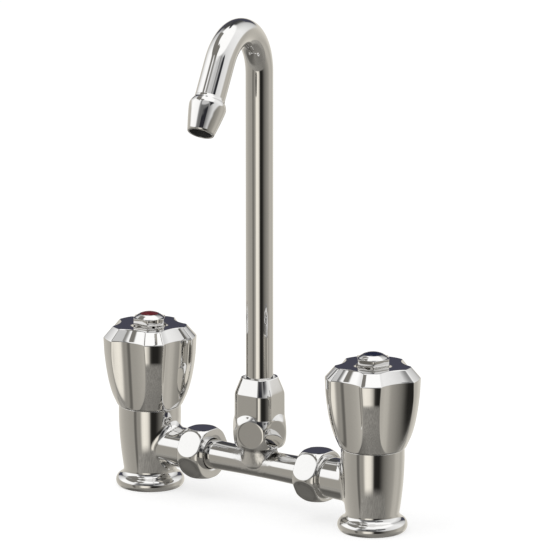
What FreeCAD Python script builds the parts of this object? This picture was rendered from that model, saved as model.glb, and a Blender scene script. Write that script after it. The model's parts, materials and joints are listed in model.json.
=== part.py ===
# Bridge kitchen mixer tap: two deck valves joined by a bridge tube that carries a swivel spout.
# Millimetres. X runs along the bridge, -Y faces the user, +Z is up, z = 0 is the deck.
# The origin is midway between the two valves at deck level.
import FreeCAD
import Part
import math
import os

Vector = FreeCAD.Vector
UP = Vector(0, 0, 1)

# ---------------------------------------------------------------- general
VALVE_SPACING = 180.0        # distance between the two valve axes
BRIDGE_Z = 29.0              # height of the bridge axis above the deck
SEAT_GAP = 0.3               # gap left between pieces that move against each other end to end
RUNNING_FIT = 0.1            # radial play of a turning or sliding round fit
QUARTER_TURN = 90.0          # degrees between the X axis, along which shapes are drawn, and -Y
LEVEL_TOLERANCE = 1e-6       # slope and height difference within which a face counts as level

# ---------------------------------------------------------------- valve body
FLANGE_R = 22.4              # widest radius of the rounded deck flange
FLANGE_H = 7.8
FLANGE_MID_H = 4.2           # height of that widest radius
FLANGE_FOOT_R = 20.8         # flat underside of the flange
FLANGE_TOP_R = 19.8
WAIST_R = 17.2               # body just above the flange
WAIST_RISE = 3.9             # height of the waist over the flange
BARREL_LOW_R = 18.6          # body swelling below the bridge axis
BARREL_LOW_DROP = 7.3        # how far under the bridge axis that radius lies
BARREL_MID_R = 19.8          # body swelling above the bridge axis
BARREL_MID_RISE = 5.0
BARREL_TOP_R = 20.3
BARREL_RISE = 25.4           # top of the body over the bridge axis
BODY_TOP_BREAK = 0.5         # round on the upper rim of the body
INLET_R = 9.3                # minor radius of the G1/2 female inlet thread
INLET_DEPTH = 14.0
ORIFICE_R = 6.5              # water way through the valve seat
SEAT_LIP_R = 8.6
SEAT_FLOOR_T = 3.0           # floor between the inlet and the valve chamber
SEAT_LIP_H = 3.0             # height of the seat lip over that floor
CHAMBER_R = 12.5             # chamber and bonnet thread bore
OUTLET_R = 7.5               # side water way from the chamber into the bridge

# ---------------------------------------------------------------- side stub and union
UNION_X = 46.8               # distance from the middle of the bridge to the middle of a union nut
UNION_HALF_W = 8.5           # half width of a union nut along the bridge
NUT_BALL_R = 18.6            # ball outline of the union nuts and of the foot of the spout nut
NUT_FLAT_D = 16.3            # distance of the nut flats from the nut axis
STUB_R = 13.2                # stub with the G3/4 male thread
STUB_CONE_R = 14.0           # stub where it runs into the body
STUB_CONE_START = 2.2        # plain length of stub between the nut and the start of its cone
STUB_BLEND = 5.5             # fillet between the stub and the body
UNION_LIP_W = 3.2            # inner lip of the union nut that holds the tube collar
UNION_LIP_GAP = 0.4          # radial gap between the lip and the bridge tube
COLLAR_R = 12.3              # collar on the end of the bridge tube
COLLAR_W = 3.0
UNION_WASHER_W = 1.6
UNION_WASHER_R = 12.3
NUT_EDGE_BREAK = 0.5         # small cone on the end faces of a union nut

# ---------------------------------------------------------------- bridge tube and boss
BRIDGE_MID_R = 9.0           # waisted middle of the bridge tube
BRIDGE_END_R = 9.7           # tube next to the union nuts
BRIDGE_BORE_R = 6.9
BOSS_R = 11.0                # upright boss in the middle of the bridge, also its G3/4 thread
BOSS_FLARE_R = 11.9          # foot of the boss where it runs into the tube
BOSS_FLARE_Z = 8.0           # height over the bridge axis where the flare ends
BOSS_TOP_H = 33.0            # top of the boss over the bridge axis

# ---------------------------------------------------------------- spout nut
BALL_CENTRE_H = 22.4         # ball middle over the bridge axis
NUT_FOOT_H = 12.4            # underside of the nut over the bridge axis
NUT_BAR_TOP_H = 47.2         # where the round upper part meets its sloped top
NUT_TOP_H = 57.8
NUT_BAR_R = 16.2             # round upper part
NUT_BAR_FLATS = 4            # spanner flats on it
NUT_BAR_D = 14.2             # flat distance
NUT_TOP_R = 11.8             # top of the slope
NUT_RECESS_R = 10.0          # open recess round the tube at the top of the nut
NUT_RECESS_H = 6.5
NUT_BALL_TURN = -15.0        # turn of the flats on the ball about Z
NUT_BAR_TURN = 4.0           # turn of the spanner flats about Z
THRUST_WASHER_H = 0.8
RETAINER_R = 10.7            # split ring that holds the spout down
RETAINER_H = 1.8
RETAINER_GROOVE = 0.9        # depth of its groove in the spout tube
RETAINER_SLOT = 3.0          # gap in the ring
SLIP_BUSH_H = 3.0

# ---------------------------------------------------------------- spout
SPOUT_R = 8.8                # riser outside radius
SPOUT_TIP_R = 9.6            # the tube swells to this radius through the bend
SPOUT_WALL = 2.0
SPOUT_FOOT_H = 11.5          # lower end of the tube over the bridge axis
BEND_CENTRE_H = 257.0        # middle of the bend over the bridge axis
BEND_R = 31.0
DROP_LEAN = 33.7             # angle between the falling leg and straight down
LEG_LENGTH = 25.0            # straight tube between the bend and the nozzle shoulder
NOZZLE_LENGTH = 24.0
SPOUT_TURN = 11.0            # rest position of the spout, turned from straight forward
O_RING_R = 0.6               # section radius of the spout seals
O_RING_GROOVE = 1.2          # groove depth
O_RING_GROOVE_W = 1.7
O_RING_FIRST_H = 16.0        # lower seal over the bridge axis
O_RING_PITCH = 7.0

# ---------------------------------------------------------------- nozzle, distances from its shoulder end
NOZZLE_NECK_R = 10.3
NOZZLE_BULB_R = 11.8
NOZZLE_BULB_AT = 5.5
NOZZLE_MID_R = 10.6
NOZZLE_MID_AT = 14.0
NOZZLE_TIP_R = 8.5
NOZZLE_SOCKET = 7.0          # depth of the socket that takes the tube end
NOZZLE_STEP_R = 6.6          # inner lip that the seal rests on
NOZZLE_STEP_W = 2.0
NOZZLE_MOUTH_R = 7.3
AERATOR_W = 5.0
AERATOR_WASHER_W = 1.5
AERATOR_HOLE_R = 0.7
AERATOR_RING_R = (2.3, 4.7)  # two rings of holes round the middle one
AERATOR_RING_N = (6, 12)

# ---------------------------------------------------------------- deck gasket
GASKET_OUTER_R = 18.4
GASKET_INNER_R = 14.4
GASKET_H = 1.5

# ---------------------------------------------------------------- bonnet of the headwork
BONNET_FOOT_GAP = 2.0        # foot of the bonnet over the side water way
BONNET_GASKET_H = 0.8
BONNET_GASKET_R = 15.0
BONNET_RIM_H = 1.8
BONNET_HEX_D = 13.5
BONNET_HEX_H = 5.5
BONNET_NECK_R = 9.2
BONNET_NECK_GAP = 3.0        # room for the clip between the neck and the handle hub
KEY_SQUARE = 9.0             # square shank that keeps the jumper from turning
KEY_PLAY = 0.3               # play on each side of that square
COLLAR_POCKET_RISE = 0.6     # floor of the spindle collar pocket over the bonnet gasket

# ---------------------------------------------------------------- spindle
SPINDLE_R = 5.0
SPINDLE_COLLAR_R = 7.5
SPINDLE_COLLAR_H = 3.0
SPINDLE_THREAD_R = 2.7       # threaded bore that drives the jumper
SPINDLE_THREAD_L = 12.7
SPINDLE_SQUARE = 7.0
SPINDLE_SQUARE_L = 13.0      # length of the square drive
STEM_SEAL_DROP = (9.0, 4.8)  # seals under the top of the bonnet neck
STEM_SEAL_R = 0.55
STEM_GROOVE = 1.1
STEM_GROOVE_W = 1.5
CLIP_R = 6.8
CLIP_H = 1.0
CLIP_GROOVE = 0.8
CLIP_SLOT = 3.0

# ---------------------------------------------------------------- jumper, washer and screw
VALVE_LIFT = 5.0             # how far the jumper rises when the valve is fully open
SEAT_WASHER_R = 7.8
SEAT_WASHER_H = 2.2
PLATE_R = 8.2
PLATE_H = 2.5
KEY_SPARE = 4.0              # square shank still under the pocket floor when the valve is open
STUD_ENGAGE = 3.7            # stud inside the spindle thread when the valve is shut
WASHER_SCREW_R = 1.6
WASHER_SCREW_HEAD_R = 3.2
WASHER_SCREW_HEAD_H = 1.6
WASHER_SCREW_DEPTH = 9.0
WASHER_SCREW_SLOT = 0.8

# ---------------------------------------------------------------- handle
HANDLE_FOOT_R = 20.9
HANDLE_CORNER_R = 21.7       # lower corner of the handle
HANDLE_CORNER_H = 1.0        # height of that corner over the foot
HANDLE_H = 46.2              # foot to rim
HANDLE_RIM_R = 30.8
HANDLE_LANDS = ((12.6, 30.1), (27.2, 27.9), (37.4, 25.1))   # drop under the rim, radius
BEVEL_IN = 0.785             # the flat top is the rim outline at this scale
BEVEL_H = 7.4
LOBES = 5
FLUTE_R = 24.0               # radius of the scooped flutes
FLUTE_DEPTH = 6.0            # depth of a flute at the rim
FLUTE_RUNOUT = 1.0           # depth of a flute where it runs out at the lower corner
HANDLE_WALL = 2.4
HANDLE_ROOF = 5.0            # thickness of the handle under its flat top
HUB_R = 8.0
HUB_HEAD = 5.2               # hub metal above the square drive, screw head included
HUB_SCREW_SEAT = 3.0         # metal between the square socket and the screw head
CAP_PLUG_R = 6.6
CAP_PLUG_H = 2.6
CAP_SIDES = 6
CAP_R = 11.6                 # corner radius of the six-sided cap
CAP_H = 4.8
DOME_R = 9.9
DOME_H = 3.6
INDEX_R = 5.9
INDEX_H = 0.9                # depth of the index disc under its edge
INDEX_RISE = 1.15            # crown of the index disc
SCREW_R = 2.0
SCREW_HEAD_R = 3.6
SCREW_HEAD_H = 2.4
SCREW_DEPTH = 9.0
SCREW_SOCKET_R = 1.4
SCREW_SOCKET_H = 1.4
LEFT_LOBE_TURN = -46.5       # middle of one land, measured from +X
RIGHT_LOBE_TURN = -56.5
LEFT_CAP_TURN = -57.5        # one corner of the cap, measured from +X
RIGHT_CAP_TURN = -51.0

# ---------------------------------------------------------------- values that follow from the above
VALVE_X = VALVE_SPACING / 2
NUT_IN_X = UNION_X - UNION_HALF_W
NUT_OUT_X = UNION_X + UNION_HALF_W
COLLAR_IN_X = NUT_IN_X + UNION_LIP_W
COLLAR_OUT_X = COLLAR_IN_X + COLLAR_W
STUB_FACE_X = COLLAR_OUT_X + UNION_WASHER_W
WAIST_Z = FLANGE_H + WAIST_RISE
BODY_TOP_Z = BRIDGE_Z + BARREL_RISE
SEAT_FLOOR_Z = INLET_DEPTH + SEAT_FLOOR_T
SEAT_LIP_Z = SEAT_FLOOR_Z + SEAT_LIP_H
BOSS_TOP_Z = BRIDGE_Z + BOSS_TOP_H
BOSS_BORE_R = SPOUT_R + RUNNING_FIT
THRUST_TOP_Z = BOSS_TOP_Z + THRUST_WASHER_H
RETAINER_Z = THRUST_TOP_Z + SEAT_GAP
BUSH_Z = RETAINER_Z + RETAINER_H + SEAT_GAP
NUT_SHOULDER_Z = BUSH_Z + SLIP_BUSH_H
NUT_TOP_Z = BRIDGE_Z + NUT_TOP_H
SPOUT_FOOT_Z = BRIDGE_Z + SPOUT_FOOT_H
BEND_Z = BRIDGE_Z + BEND_CENTRE_H
HANDLE_FOOT_Z = BODY_TOP_Z + SEAT_GAP
HANDLE_CORNER_Z = HANDLE_FOOT_Z + HANDLE_CORNER_H
HANDLE_RIM_Z = HANDLE_FOOT_Z + HANDLE_H
HANDLE_TOP_Z = HANDLE_RIM_Z + BEVEL_H
ROOF_Z = HANDLE_TOP_Z - HANDLE_ROOF
SPINDLE_TOP_Z = ROOF_Z - HUB_HEAD
SPINDLE_SHOULDER_Z = SPINDLE_TOP_Z - SPINDLE_SQUARE_L
BONNET_FOOT_Z = BRIDGE_Z + OUTLET_R + BONNET_FOOT_GAP
BONNET_NECK_Z = SPINDLE_SHOULDER_Z - BONNET_NECK_GAP
GASKET_TOP_Z = BODY_TOP_Z + BONNET_GASKET_H
HEX_FOOT_Z = GASKET_TOP_Z + BONNET_RIM_H
HEX_TOP_Z = HEX_FOOT_Z + BONNET_HEX_H
COLLAR_POCKET_Z = GASKET_TOP_Z + COLLAR_POCKET_RISE
SPINDLE_FOOT_Z = COLLAR_POCKET_Z + SEAT_GAP
SPINDLE_THREAD_TOP = SPINDLE_FOOT_Z + SPINDLE_THREAD_L
COLLAR_TOP_Z = SPINDLE_FOOT_Z + SPINDLE_COLLAR_H
POCKET_TOP_Z = COLLAR_TOP_Z + SEAT_GAP
CLIP_Z = BONNET_NECK_Z + SEAT_GAP
WASHER_Z = SEAT_LIP_Z + SEAT_GAP
PLATE_Z = WASHER_Z + SEAT_WASHER_H
KEY_FOOT_Z = PLATE_Z + PLATE_H
KEY_TOP_Z = COLLAR_POCKET_Z - KEY_SPARE - VALVE_LIFT
STUD_TOP_Z = SPINDLE_FOOT_Z + STUD_ENGAGE
STUD_R = SPINDLE_THREAD_R - RUNNING_FIT
SCREW_SEAT_Z = SPINDLE_TOP_Z + HUB_SCREW_SEAT
CAP_FOOT_Z = HANDLE_TOP_Z - CAP_PLUG_H
CAP_TOP_Z = HANDLE_TOP_Z + CAP_H
INDEX_TOP_Z = CAP_TOP_Z + DOME_H
INDEX_FOOT_Z = INDEX_TOP_Z - INDEX_H - INDEX_RISE


# ---------------------------------------------------------------- building blocks
def disc(radius, low, high):
    return Part.makeCylinder(radius, high - low, Vector(0, 0, low))


def ring(outer, inner, low, high):
    return disc(outer, low, high).cut(disc(inner, low, high))


def cone(low_r, high_r, low, high):
    return Part.makeCone(low_r, high_r, high - low, Vector(0, 0, low))


def torus(major, minor, z):
    return Part.makeTorus(major, minor, Vector(0, 0, z))


def square_bar(width, low, high):
    return Part.makeBox(width, width, high - low, Vector(-width / 2, -width / 2, low))


def polygon_wire(sides, flat_distance, z, turn=0.0):
    corner_r = flat_distance / math.cos(math.pi / sides)
    points = []
    for i in range(sides + 1):
        angle = math.radians(turn) + 2 * math.pi * i / sides + math.pi / sides
        points.append(Vector(corner_r * math.cos(angle), corner_r * math.sin(angle), z))
    return Part.makePolygon(points)


def polygon_bar(sides, flat_distance, low, high, turn=0.0):
    face = Part.Face(polygon_wire(sides, flat_distance, low, turn))
    return face.extrude(Vector(0, 0, high - low))


# A profile is a chain of steps in the (radius, height) half plane.
# A point continues with a straight edge, a pair of points with an arc, a longer list with a spline.
def revolved(start, steps):
    edges = []
    here = Vector(start[0], 0, start[1])
    for step in steps:
        chain = step if isinstance(step, list) else [step]
        points = [here] + [Vector(r, 0, z) for r, z in chain]
        if len(points) == 2:
            edges.append(Part.LineSegment(points[0], points[1]).toShape())
        elif len(points) == 3:
            edges.append(Part.Arc(points[0], points[1], points[2]).toShape())
        else:
            curve = Part.BSplineCurve()
            curve.interpolate(points)
            edges.append(curve.toShape())
        here = points[-1]
    face = Part.Face(Part.Wire(edges))
    return face.revolve(Vector(0, 0, 0), UP, 360)


def turned(shape, degrees):
    copy = shape.copy()
    copy.rotate(Vector(0, 0, 0), UP, degrees)
    return copy


def moved(shape, x, y, z):
    copy = shape.copy()
    copy.translate(Vector(x, y, z))
    return copy


# Lays a shape built along Z down so that its axis runs along X at the height of the bridge.
def laid_on_bridge(shape):
    copy = shape.copy()
    copy.rotate(Vector(0, 0, 0), Vector(0, 1, 0), QUARTER_TURN)
    copy.translate(Vector(0, 0, BRIDGE_Z))
    return copy


# Corner point of a round of the given radius between a vertical and a horizontal edge.
def round_mid(centre_r, centre_z, radius, angle):
    return (centre_r + radius * math.cos(angle), centre_z + radius * math.sin(angle))


EIGHTH = math.pi / 4


# ---------------------------------------------------------------- valve body, stub pointing to +X
def valve_body():
    hollow = ((FLANGE_TOP_R + 2 * WAIST_R) / 3, (2 * FLANGE_H + WAIST_Z) / 3)
    barrel = revolved((0, 0), [
        (FLANGE_FOOT_R, 0),
        [(FLANGE_R, FLANGE_MID_H), (FLANGE_TOP_R, FLANGE_H)],
        [hollow, (WAIST_R, WAIST_Z)],
        [(BARREL_LOW_R, BRIDGE_Z - BARREL_LOW_DROP), (BARREL_MID_R, BRIDGE_Z + BARREL_MID_RISE),
         (BARREL_TOP_R, BODY_TOP_Z - BODY_TOP_BREAK)],
        [round_mid(BARREL_TOP_R - BODY_TOP_BREAK, BODY_TOP_Z - BODY_TOP_BREAK, BODY_TOP_BREAK, EIGHTH),
         (BARREL_TOP_R - BODY_TOP_BREAK, BODY_TOP_Z)],
        (0, BODY_TOP_Z),
        (0, 0),
    ])
    reach = VALVE_X - STUB_FACE_X
    cone_start = VALVE_X - NUT_OUT_X - STUB_CONE_START
    stub = disc(STUB_R, cone_start, reach).fuse(cone(STUB_CONE_R, STUB_R, 0, cone_start))
    body = barrel.fuse(laid_on_bridge(stub)).removeSplitter()
    seam = [e for e in body.Edges if is_stub_seam(e)]
    body = body.makeFillet(STUB_BLEND, seam)
    inlet = disc(INLET_R, 0, INLET_DEPTH)
    chamber = ring(CHAMBER_R, SEAT_LIP_R, SEAT_FLOOR_Z, SEAT_LIP_Z)
    upper = disc(CHAMBER_R, SEAT_LIP_Z, BODY_TOP_Z)
    water_way = laid_on_bridge(disc(OUTLET_R, CHAMBER_R - 2 * SEAT_GAP, reach))
    gasket_bed = ring(GASKET_OUTER_R, GASKET_INNER_R, 0, GASKET_H)
    cuts = [inlet, disc(ORIFICE_R, INLET_DEPTH, SEAT_LIP_Z), chamber, upper, water_way, gasket_bed]
    return body.cut(Part.makeCompound(cuts))


# The seam between barrel and stub is the closed curve that lies around the stub on the barrel.
def is_stub_seam(edge):
    box = edge.BoundBox
    wide = STUB_R < box.YLength
    beside_axis = box.XMin > 0
    return wide and beside_axis and box.XMax < BARREL_TOP_R + STUB_BLEND and box.ZLength > STUB_R


def deck_gasket():
    return ring(GASKET_OUTER_R, GASKET_INNER_R, 0, GASKET_H)


# ---------------------------------------------------------------- union nut, bridge side at the low end
def ball_nut_blank(half_width):
    ball = Part.makeSphere(NUT_BALL_R)
    return ball.common(polygon_bar(6, NUT_FLAT_D, -half_width, half_width))


def union_nut():
    blank = ball_nut_blank(UNION_HALF_W)
    lip = disc(BRIDGE_END_R + UNION_LIP_GAP, -UNION_HALF_W, UNION_HALF_W)
    thread = disc(STUB_R, UNION_LIP_W - UNION_HALF_W, UNION_HALF_W)
    mouth = cone(STUB_R, STUB_R + NUT_EDGE_BREAK, UNION_HALF_W - NUT_EDGE_BREAK, UNION_HALF_W)
    return moved(blank.cut(Part.makeCompound([lip, thread, mouth])), 0, 0, UNION_X)


def union_washer():
    return ring(UNION_WASHER_R, OUTLET_R, COLLAR_OUT_X, STUB_FACE_X)


# ---------------------------------------------------------------- bridge tube with its upright boss
def bridge_tube():
    half = revolved((0, 0), [
        (BRIDGE_MID_R, 0),
        [(BRIDGE_MID_R, BOSS_R), (BRIDGE_END_R, NUT_IN_X), (BRIDGE_END_R, COLLAR_IN_X)],
        (COLLAR_R, COLLAR_IN_X),
        (COLLAR_R, COLLAR_OUT_X),
        (0, COLLAR_OUT_X),
        (0, 0),
    ])
    right = laid_on_bridge(half)
    left = turned(right, 180)
    boss = disc(BOSS_R, 0, BOSS_TOP_H)
    flare = cone(BOSS_FLARE_R, BOSS_R, 0, BOSS_FLARE_Z + BOSS_R / 4)
    tube = right.fuse([left, moved(boss, 0, 0, BRIDGE_Z), moved(flare, 0, 0, BRIDGE_Z)])
    water_way = laid_on_bridge(disc(BRIDGE_BORE_R, -COLLAR_OUT_X, COLLAR_OUT_X))
    riser_bore = disc(BOSS_BORE_R, SPOUT_FOOT_Z - SEAT_GAP, BOSS_TOP_Z)
    riser_way = disc(BRIDGE_BORE_R - SEAT_GAP, BRIDGE_Z, BOSS_TOP_Z)
    return tube.cut(Part.makeCompound([water_way, riser_bore, riser_way])).removeSplitter()


# ---------------------------------------------------------------- spout nut and what it holds
def spout_nut():
    foot = BRIDGE_Z + NUT_FOOT_H
    bar_top = BRIDGE_Z + NUT_BAR_TOP_H
    ball_z = BRIDGE_Z + BALL_CENTRE_H
    ball = Part.makeSphere(NUT_BALL_R, Vector(0, 0, ball_z))
    ball = ball.common(polygon_bar(6, NUT_FLAT_D, foot, ball_z + NUT_BALL_R, NUT_BALL_TURN))
    bar = disc(NUT_BAR_R, ball_z, bar_top)
    bar = bar.common(polygon_bar(NUT_BAR_FLATS, NUT_BAR_D, ball_z, bar_top, NUT_BAR_TURN))
    top_d = NUT_BAR_D * NUT_TOP_R / NUT_BAR_R
    low_wire = polygon_wire(NUT_BAR_FLATS, NUT_BAR_D, bar_top, NUT_BAR_TURN)
    high_wire = polygon_wire(NUT_BAR_FLATS, top_d, NUT_TOP_Z, NUT_BAR_TURN)
    slope = Part.makeLoft([low_wire, high_wire], True, True)
    slope = slope.common(cone(NUT_BAR_R, NUT_TOP_R, bar_top, NUT_TOP_Z))
    blank = ball.fuse([bar, slope])
    cuts = [
        disc(BOSS_R, foot, NUT_SHOULDER_Z),
        disc(SPOUT_R + SEAT_GAP, NUT_SHOULDER_Z, NUT_TOP_Z),
        disc(NUT_RECESS_R, NUT_TOP_Z - NUT_RECESS_H, NUT_TOP_Z),
    ]
    return blank.cut(Part.makeCompound(cuts))


def thrust_washer():
    return ring(BOSS_R, BOSS_BORE_R, BOSS_TOP_Z, THRUST_TOP_Z)


def slip_bush():
    return ring(BOSS_R, BOSS_BORE_R, BUSH_Z, NUT_SHOULDER_Z)


def split_ring(outer, inner, low, high, slot):
    gap = Part.makeBox(2 * outer, slot, high - low, Vector(0, -slot / 2, low))
    return ring(outer, inner, low, high).cut(gap)


# ---------------------------------------------------------------- spout, built bending towards +X
def bend_point(angle):
    return Vector(BEND_R - BEND_R * math.cos(angle), 0, BEND_Z + BEND_R * math.sin(angle))


def circle_wire(centre, normal, radius):
    return Part.Wire(Part.Circle(centre, normal, radius).toShape())


BEND_END = math.radians(180.0 - DROP_LEAN)
LEG_START = bend_point(BEND_END)
LEG_AXIS = Vector(math.sin(BEND_END), 0, math.cos(BEND_END))


# A round bar along the spout centre line, smaller than the tube surface by the given inset.
def spout_bar(inset, foot_z, leg_length):
    riser = Part.makeCylinder(SPOUT_R - inset, BEND_Z - foot_z, Vector(0, 0, foot_z))
    arc = Part.Arc(bend_point(0), bend_point(BEND_END / 2), bend_point(BEND_END)).toShape()
    maker = Part.BRepOffsetAPI.MakePipeShell(Part.Wire(arc))
    maker.add(circle_wire(bend_point(0), UP, SPOUT_R - inset), False, False)
    maker.add(circle_wire(LEG_START, LEG_AXIS, SPOUT_TIP_R - inset), False, False)
    maker.build()
    maker.makeSolid()
    bend = maker.shape()
    leg = Part.makeCylinder(SPOUT_TIP_R - inset, leg_length, LEG_START, LEG_AXIS)
    return riser.fuse([bend, leg])


def spout_tube():
    length = LEG_LENGTH + NOZZLE_SOCKET
    tube = spout_bar(0, SPOUT_FOOT_Z, length).cut(spout_bar(SPOUT_WALL, SPOUT_FOOT_Z, length))
    cuts = [ring(SPOUT_R, SPOUT_R - RETAINER_GROOVE, RETAINER_Z, RETAINER_Z + RETAINER_H)]
    for z in seal_heights():
        low = z - O_RING_GROOVE_W / 2
        cuts.append(ring(SPOUT_R, SPOUT_R - O_RING_GROOVE, low, low + O_RING_GROOVE_W))
    return turned(tube.cut(Part.makeCompound(cuts)), SPOUT_TURN - QUARTER_TURN)


def seal_heights():
    first = BRIDGE_Z + O_RING_FIRST_H
    return [first, first + O_RING_PITCH]


def spout_seals():
    major = SPOUT_R - O_RING_GROOVE + O_RING_R
    return Part.makeCompound([torus(major, O_RING_R, z) for z in seal_heights()])


def retaining_ring():
    shape = split_ring(RETAINER_R, SPOUT_R - RETAINER_GROOVE, RETAINER_Z, RETAINER_Z + RETAINER_H,
                       RETAINER_SLOT)
    return turned(shape, SPOUT_TURN + QUARTER_TURN)


# Carries a shape built along +Z from the nozzle shoulder onto the falling leg of the spout.
def on_leg(shape):
    copy = shape.copy()
    copy.rotate(Vector(0, 0, 0), Vector(0, 1, 0), math.degrees(BEND_END))
    copy.translate(LEG_START + LEG_AXIS * LEG_LENGTH)
    return turned(copy, SPOUT_TURN - QUARTER_TURN)


def outlet_nozzle():
    blank = revolved((0, 0), [
        (NOZZLE_NECK_R, 0),
        [((NOZZLE_NECK_R + 2 * NOZZLE_BULB_R) / 3, NOZZLE_BULB_AT / 3), (NOZZLE_BULB_R, NOZZLE_BULB_AT),
         (NOZZLE_MID_R, NOZZLE_MID_AT), (NOZZLE_TIP_R, NOZZLE_LENGTH)],
        (0, NOZZLE_LENGTH),
        (0, 0),
    ])
    step_end = NOZZLE_SOCKET + NOZZLE_STEP_W
    cuts = [
        disc(SPOUT_TIP_R, 0, NOZZLE_SOCKET),
        disc(NOZZLE_STEP_R, NOZZLE_SOCKET, step_end),
        disc(NOZZLE_MOUTH_R, step_end, NOZZLE_LENGTH),
    ]
    return on_leg(blank.cut(Part.makeCompound(cuts)))


def aerator_washer():
    low = NOZZLE_SOCKET + NOZZLE_STEP_W
    return on_leg(ring(NOZZLE_MOUTH_R, NOZZLE_STEP_R - NOZZLE_STEP_W / 2, low, low + AERATOR_WASHER_W))


def aerator_insert():
    low = NOZZLE_SOCKET + NOZZLE_STEP_W + AERATOR_WASHER_W
    high = low + AERATOR_W
    holes = [disc(AERATOR_HOLE_R, low, high)]
    for radius, count in zip(AERATOR_RING_R, AERATOR_RING_N):
        for i in range(count):
            hole = moved(disc(AERATOR_HOLE_R, low, high), radius, 0, 0)
            holes.append(turned(hole, 360.0 * i / count))
    return on_leg(disc(NOZZLE_MOUTH_R, low, high).cut(Part.makeCompound(holes)))


# ---------------------------------------------------------------- headwork, on the valve axis
def bonnet_gasket():
    return ring(BONNET_GASKET_R, CHAMBER_R, BODY_TOP_Z, GASKET_TOP_Z)


def bonnet():
    blank = disc(CHAMBER_R, BONNET_FOOT_Z, GASKET_TOP_Z).fuse([
        disc(BONNET_GASKET_R, GASKET_TOP_Z, HEX_FOOT_Z),
        polygon_bar(6, BONNET_HEX_D, HEX_FOOT_Z, HEX_TOP_Z),
        disc(BONNET_NECK_R, HEX_TOP_Z, BONNET_NECK_Z),
    ])
    cuts = [
        square_bar(KEY_SQUARE + 2 * KEY_PLAY, BONNET_FOOT_Z, COLLAR_POCKET_Z),
        disc(SPINDLE_COLLAR_R + RUNNING_FIT, COLLAR_POCKET_Z, POCKET_TOP_Z),
        disc(SPINDLE_R + RUNNING_FIT, POCKET_TOP_Z, BONNET_NECK_Z),
    ]
    return blank.cut(Part.makeCompound(cuts))


def spindle():
    blank = disc(SPINDLE_COLLAR_R, SPINDLE_FOOT_Z, COLLAR_TOP_Z).fuse([
        disc(SPINDLE_R, COLLAR_TOP_Z, SPINDLE_SHOULDER_Z),
        square_bar(SPINDLE_SQUARE, SPINDLE_SHOULDER_Z, SPINDLE_TOP_Z),
    ])
    cuts = [
        disc(SPINDLE_THREAD_R, SPINDLE_FOOT_Z, SPINDLE_THREAD_TOP),
        disc(SCREW_R, SPINDLE_TOP_Z - SCREW_DEPTH, SPINDLE_TOP_Z),
        ring(SPINDLE_R, SPINDLE_R - CLIP_GROOVE, CLIP_Z, CLIP_Z + CLIP_H),
    ]
    for z in stem_seal_heights():
        low = z - STEM_GROOVE_W / 2
        cuts.append(ring(SPINDLE_R, SPINDLE_R - STEM_GROOVE, low, low + STEM_GROOVE_W))
    return blank.cut(Part.makeCompound(cuts))


def stem_seal_heights():
    return [BONNET_NECK_Z - drop for drop in STEM_SEAL_DROP]


def stem_seals():
    major = SPINDLE_R - STEM_GROOVE + STEM_SEAL_R
    return Part.makeCompound([torus(major, STEM_SEAL_R, z) for z in stem_seal_heights()])


def spindle_clip():
    return split_ring(CLIP_R, SPINDLE_R - CLIP_GROOVE, CLIP_Z, CLIP_Z + CLIP_H, CLIP_SLOT)


def jumper():
    blank = disc(PLATE_R, PLATE_Z, KEY_FOOT_Z).fuse([
        square_bar(KEY_SQUARE, KEY_FOOT_Z, KEY_TOP_Z),
        disc(STUD_R, KEY_TOP_Z, STUD_TOP_Z),
    ])
    return blank.cut(disc(WASHER_SCREW_R, PLATE_Z, WASHER_Z + WASHER_SCREW_DEPTH))


def seat_washer():
    return ring(SEAT_WASHER_R, WASHER_SCREW_R, WASHER_Z, PLATE_Z)


def washer_screw():
    head_z = WASHER_Z - WASHER_SCREW_HEAD_H
    screw = disc(WASHER_SCREW_HEAD_R, head_z, WASHER_Z)
    screw = screw.fuse(disc(WASHER_SCREW_R, WASHER_Z, WASHER_Z + WASHER_SCREW_DEPTH))
    slot = Part.makeBox(2 * WASHER_SCREW_HEAD_R, WASHER_SCREW_SLOT, WASHER_SCREW_HEAD_H / 2,
                        Vector(-WASHER_SCREW_HEAD_R, -WASHER_SCREW_SLOT / 2, head_z))
    return screw.cut(slot)


# ---------------------------------------------------------------- handle, one land centred on +X
def flute_cutter(index):
    low_r = HANDLE_CORNER_R - FLUTE_RUNOUT + FLUTE_R
    high_r = HANDLE_RIM_R - FLUTE_DEPTH + FLUTE_R
    low = Vector(low_r, 0, HANDLE_CORNER_Z)
    high = Vector(high_r, 0, HANDLE_RIM_Z)
    axis = high - low
    start = low - axis
    cutter = Part.makeCylinder(FLUTE_R, 3 * axis.Length, start, axis)
    return turned(cutter, (index + 0.5) * 360.0 / LOBES)


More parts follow.
